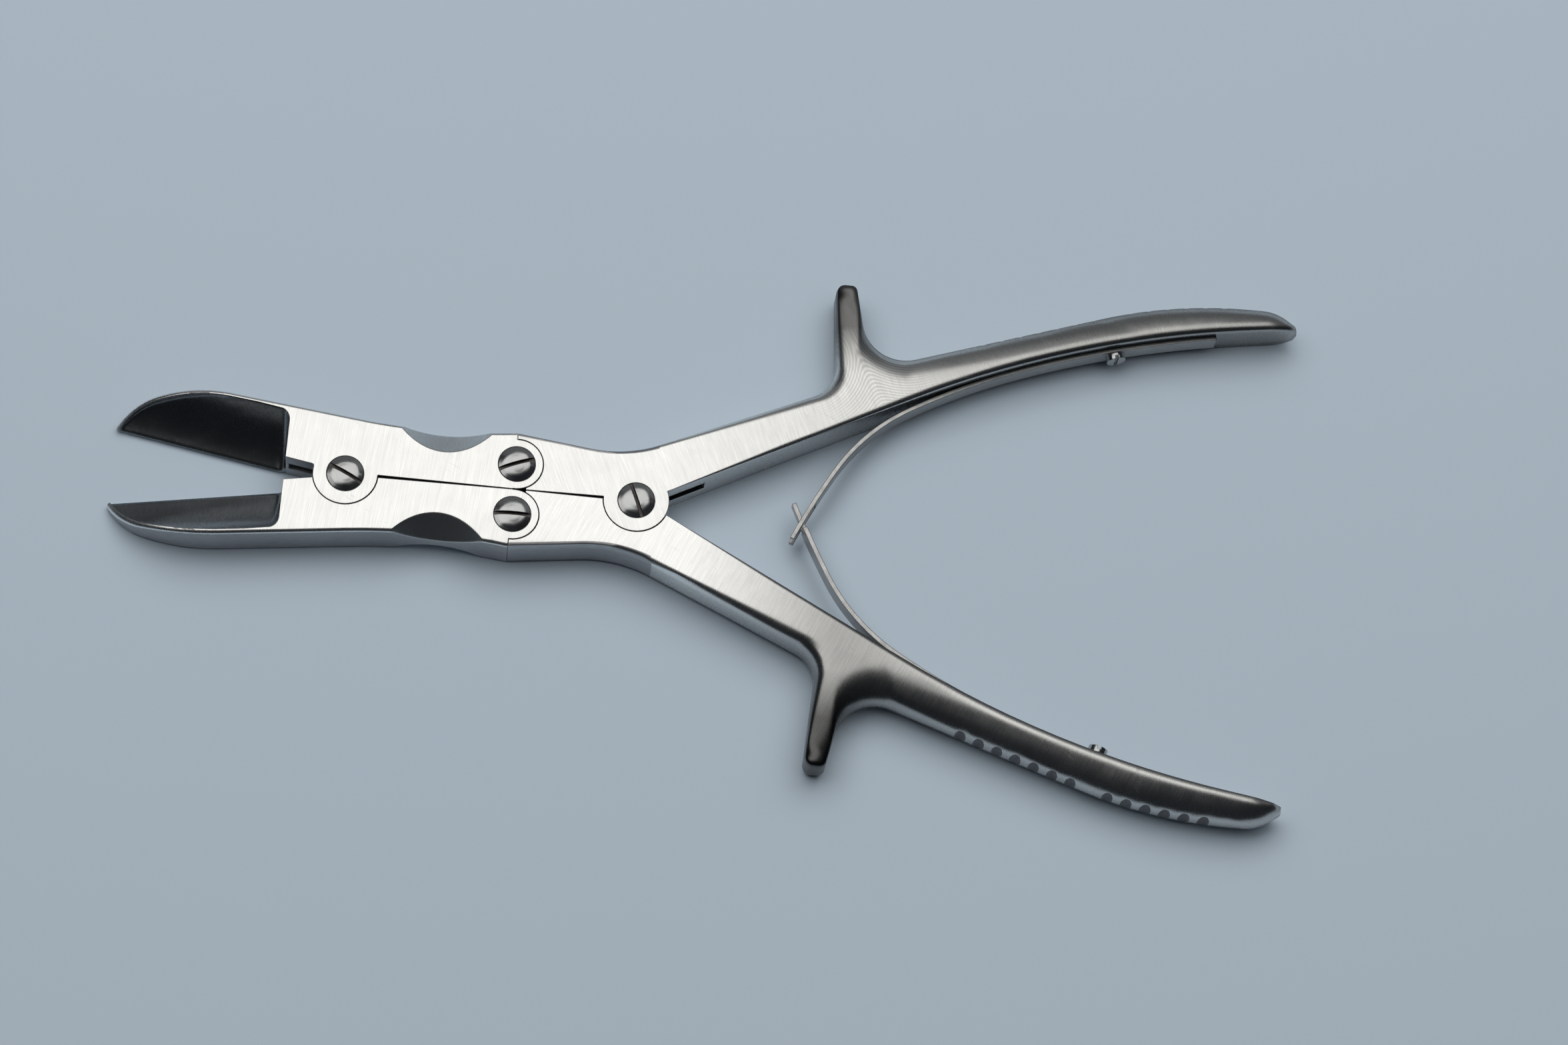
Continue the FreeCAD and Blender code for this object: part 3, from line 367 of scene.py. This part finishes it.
# The two handle materials carry painted shade along the grip.
upper_grip = steel(
    "upper_handle_satin_painted_shade", BRIGHT_FLAT, DARK_FLAT,
    rough=0.27, grain=(4200, 160, 600), turn=-0.42, bump=0.07,
    edge=polished_edge, painted_dimming=upper_painted_shade_with_lines)
lower_grip = steel(
    "lower_handle_satin_painted_shade", BRIGHT_FLAT, DARK_FLAT,
    rough=0.24, grain=(4200, 160, 600), turn=0.42, bump=0.07,
    edge=polished_edge, painted_dimming=lower_painted_shade)
# Near-black steel in the notches and in the fork's cuts: painted shade in the recesses.
notch_painted_shade = steel(
    "ground_notch_painted_shade", (0.22, 0.21, 0.22), (0.13, 0.13, 0.14),
    rough=0.45, grain=(1500, 1500, 3000))

# Where the finishes change, in millimetres behind the rear pivot. The wall of a notch
# has tall faces, and the back between the notches has low ones.
SATIN_FROM = 8
FORK_TO = 14
NOTCHES_FROM = 72
NOTCHES_TO = 139
NOTCH_TALL = 2.6


def handle_finish(side):
    """Finish of each face of a handle: 0 satin with painted shade, 1 walls beside the pivots, 2
    cuts and notches coloured with painted shade."""
    def choose(centre, normal, face):
        level = abs(normal.z) > 0.985
        if level and in_fork(centre) and centre.x < FORK_TO:
            return 2
        heights = [corner.co.z / MM for corner in face.verts]
        tall = max(heights) - min(heights) > NOTCH_TALL
        back = normal.y * side > 0.1 and abs(normal.z) < 0.12
        if back and tall and NOTCHES_FROM < centre.x < NOTCHES_TO:
            return 2
        return 0 if level or centre.x > SATIN_FROM else 1
    return choose


for half, side, grip in (("upper", 1, upper_grip), ("lower", -1, lower_grip)):
    body = "handle_" + half
    finishes = [grip, wall_steel, notch_painted_shade]
    handle = shown(body, half + "_handle", finishes, handle_finish(side), corner=48.0)
    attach(handle, body)


# Pivot screws: turned from stainless bar, with a domed and polished head sunk in the
# upper cheek and a sawn slot. They are screwed into the lower cheek and peened.

LATHE_RINGS_PER_METRE = 5000
# The slot's faces lie closer in than the head's rim, and above this height, in millimetres.
HEAD_INSIDE = 3.98
SLOT_ABOVE = 10


def turned_steel(name, centre):
    """Polished screw: the faint rings of the lathe round its own centre, and smudges."""
    material, tree, shader = metal(name)
    where = add(tree, "ShaderNodeTexCoord")
    moved = add(tree, "ShaderNodeMapping")
    moved.inputs["Location"].default_value = (-centre[0], -centre[1], 0)
    tree.links.new(where.outputs["Object"], moved.inputs["Vector"])
    flat = add(tree, "ShaderNodeVectorMath", operation="MULTIPLY")
    flat.inputs[1].default_value = (1, 1, 0)
    tree.links.new(moved.outputs["Vector"], flat.inputs[0])
    radius = add(tree, "ShaderNodeVectorMath", operation="LENGTH")
    tree.links.new(flat.outputs["Vector"], radius.inputs[0])
    outward = maths(tree, "MULTIPLY", radius.outputs["Value"], LATHE_RINGS_PER_METRE)
    along = add(tree, "ShaderNodeCombineXYZ")
    tree.links.new(outward, along.inputs["X"])
    rings = noise(tree, along.outputs["Vector"], detail=3.0)
    smudges = noise(tree, stretched(tree, (300, 300, 300)), detail=4.0)
    colour = mixed(tree, rings, (0.38, 0.39, 0.40), (0.56, 0.56, 0.55))
    tree.links.new(colour, shader.inputs["Base Color"])
    turned = spread(tree, rings, 0.3, 0.7, 0.14, 0.22)
    rough = maths(tree, "ADD", turned, spread(tree, smudges, 0.4, 0.7, 0, 0.1))
    tree.links.new(rough, shader.inputs["Roughness"])
    raised(tree, shader, rings, 0.12, 0.25 * MM)
    return material


# The slot's near-black colour is painted shade in the recess.
slot_painted_shade = steel(
    "sawn_slot_painted_shade", (0.16, 0.14, 0.13), (0.08, 0.07, 0.07),
    rough=0.5, grain=(2500, 2500, 2500), bump=0.2, edge=0.1 * MM)


def screw_finish(middle):
    """Finish of each face of a screw: 0 turned, 1 the sawn slot, coloured with painted shade."""
    def choose(centre, normal, face):
        off_axis = math.hypot(centre.x - middle.x / MM, centre.y - middle.y / MM)
        sawn = abs(normal.z) < 0.2 or (normal.z > 0.99 and centre.z < THICK)
        return 1 if sawn and off_axis < HEAD_INSIDE and centre.z > SLOT_ABOVE else 0
    return choose


SCREWS = [
    ("front_pivot_screw", "jaw_upper"),
    ("upper_link_screw", "jaw_upper"),
    ("lower_link_screw", "jaw_lower"),
    ("rear_pivot_screw", "handle_upper"),
]
for node, body in SCREWS:
    low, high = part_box(node)
    middle = (Vector(low) + Vector(high)) / 2
    finishes = [turned_steel(node + "_steel", middle), slot_painted_shade]
    screw = shown(node, node + "_head", finishes, screw_finish(middle), corner=32.0)
    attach(screw, body)


# Leaf springs: strip of satin spring steel, bent in bows and ground at the ends to a
# fork and a tongue that hook into each other. Each is screwed to its own handle.

spring_steel = steel(
    "spring_satin", (0.50, 0.50, 0.49), (0.38, 0.38, 0.38),
    rough=0.30, grain=(600, 600, 4200))


def same_finish(centre, normal, face):
    """One finish all over."""
    return 0


for half, other, side in (("upper", "lower", 1), ("lower", "upper", -1)):
    leaf = shown("spring_leaf_" + half, half + "_leaf", [spring_steel], same_finish, corner=28.0)
    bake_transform(leaf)


# Leaf screws: small slotted cheese-head screws, turned and polished, that hold the tail
# of each leaf against its handle.

for half in ("upper", "lower"):
    node = "spring_screw_" + half
    low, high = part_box(node)
    polish = turned_steel("leaf_screw_steel_" + half, (Vector(low) + Vector(high)) / 2)
    stud = shown(node, half + "_leaf_screw", [polish], same_finish, corner=28.0)
    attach(stud, "handle_" + half)


# Floor: a plain sheet of pale matt paper, six metres across, on which the forceps lies.
# It is a hair lower than the resting plane.

PALE_BLUE_GREY = (0.51, 0.60, 0.685, 1)
FLOOR_DROP = 0.05 * MM
floor_mesh = bpy.data.meshes.new("floor")
sheet = bmesh.new()
bmesh.ops.create_grid(sheet, x_segments=1, y_segments=1, size=3)
sheet.to_mesh(floor_mesh)
sheet.free()
floor = bpy.data.objects.new("floor", floor_mesh)
floor.location.z = -FLOOR_DROP
bpy.context.scene.collection.objects.link(floor)
paper = bpy.data.materials.new("pale_paper")
paper.use_nodes = True
paper_looks = paper.node_tree.nodes["Principled BSDF"].inputs
paper_looks["Base Color"].default_value = PALE_BLUE_GREY
paper_looks["Roughness"].default_value = 0.9
paper_looks["Specular IOR Level"].default_value = 0.1
floor_mesh.materials.append(paper)


# Camera: a long lens 1.1 m away, looking down at the instrument as in the photograph,
# turned and rolled until the pieces lie in the picture as they do there.

def camera_place(distance, tilt, roll, turn, slide_x, slide_y):
    """Camera matrix: turned about the vertical, tilted towards the viewer, rolled."""
    right = Vector((math.cos(turn), -math.sin(turn), 0))
    away = Vector((math.sin(turn), math.cos(turn), 0))
    back = Vector((0, 0, 1)) * math.cos(tilt) - away * math.sin(tilt)
    up = away * math.cos(tilt) + Vector((0, 0, 1)) * math.sin(tilt)
    place = back * distance - right * slide_x - away * slide_y
    rolled = right * math.cos(roll) - up * math.sin(roll)
    up = right * math.sin(roll) + up * math.cos(roll)
    matrix = Matrix((rolled, up, back)).transposed().to_4x4()
    matrix.translation = place
    return matrix


lens = bpy.data.cameras.new("camera")
lens.sensor_width = 36
lens.lens = 114.05
lens.clip_start = 0.01
lens.clip_end = 20
camera = bpy.data.objects.new("camera", lens)
camera.matrix_world = camera_place(
    distance=1.115, tilt=math.radians(21.22), roll=math.radians(-13.33),
    turn=math.radians(8.62), slide_x=-0.0330178, slide_y=-0.0070315)
bpy.context.scene.collection.objects.link(camera)
bpy.context.scene.camera = camera


# Light: a wide soft box above and a little beyond, which the flat faces mirror, a dim
# card further back, a lamp that only lights the floor because the steel doesn't mirror
# it, and a dark room all round.

def lamp(name, place, target, width, height, power, colour, mirrored=True):
    """A rectangular lamp at a place, turned to a target."""
    light = bpy.data.lights.new(name, "AREA")
    light.shape = "RECTANGLE"
    light.size = width
    light.size_y = height
    light.energy = power
    light.color = colour
    box = bpy.data.objects.new(name, light)
    box.location = place
    box.rotation_euler = (Vector(target) - Vector(place)).to_track_quat("-Z", "Y").to_euler()
    box.visible_glossy = mirrored
    bpy.context.scene.collection.objects.link(box)


lamp("soft_box", place=(-0.20, 0.44, 1.22), target=(0.015, 0, 0),
     width=2.0, height=0.95, power=7.4, colour=(1.0, 0.99, 0.965))
lamp("back_card", place=(0.3, 1.6, 0.75), target=(0.0, 0, 0.3),
     width=3.6, height=1.5, power=2.3, colour=(0.95, 0.98, 1.0))
lamp("floor_lamp", place=(0.10, 0.45, 1.25), target=(0.015, 0, 0),
     width=2.4, height=1.8, power=14.0, colour=(1.0, 1.0, 1.0), mirrored=False)

room = bpy.data.worlds.new("dark_room")
room.use_nodes = True
room_light = room.node_tree.nodes["Background"].inputs
room_light["Color"].default_value = (0.30, 0.34, 0.40, 1)
room_light["Strength"].default_value = 0.06
bpy.context.scene.world = room
bpy.context.scene.view_settings.view_transform = "Standard"
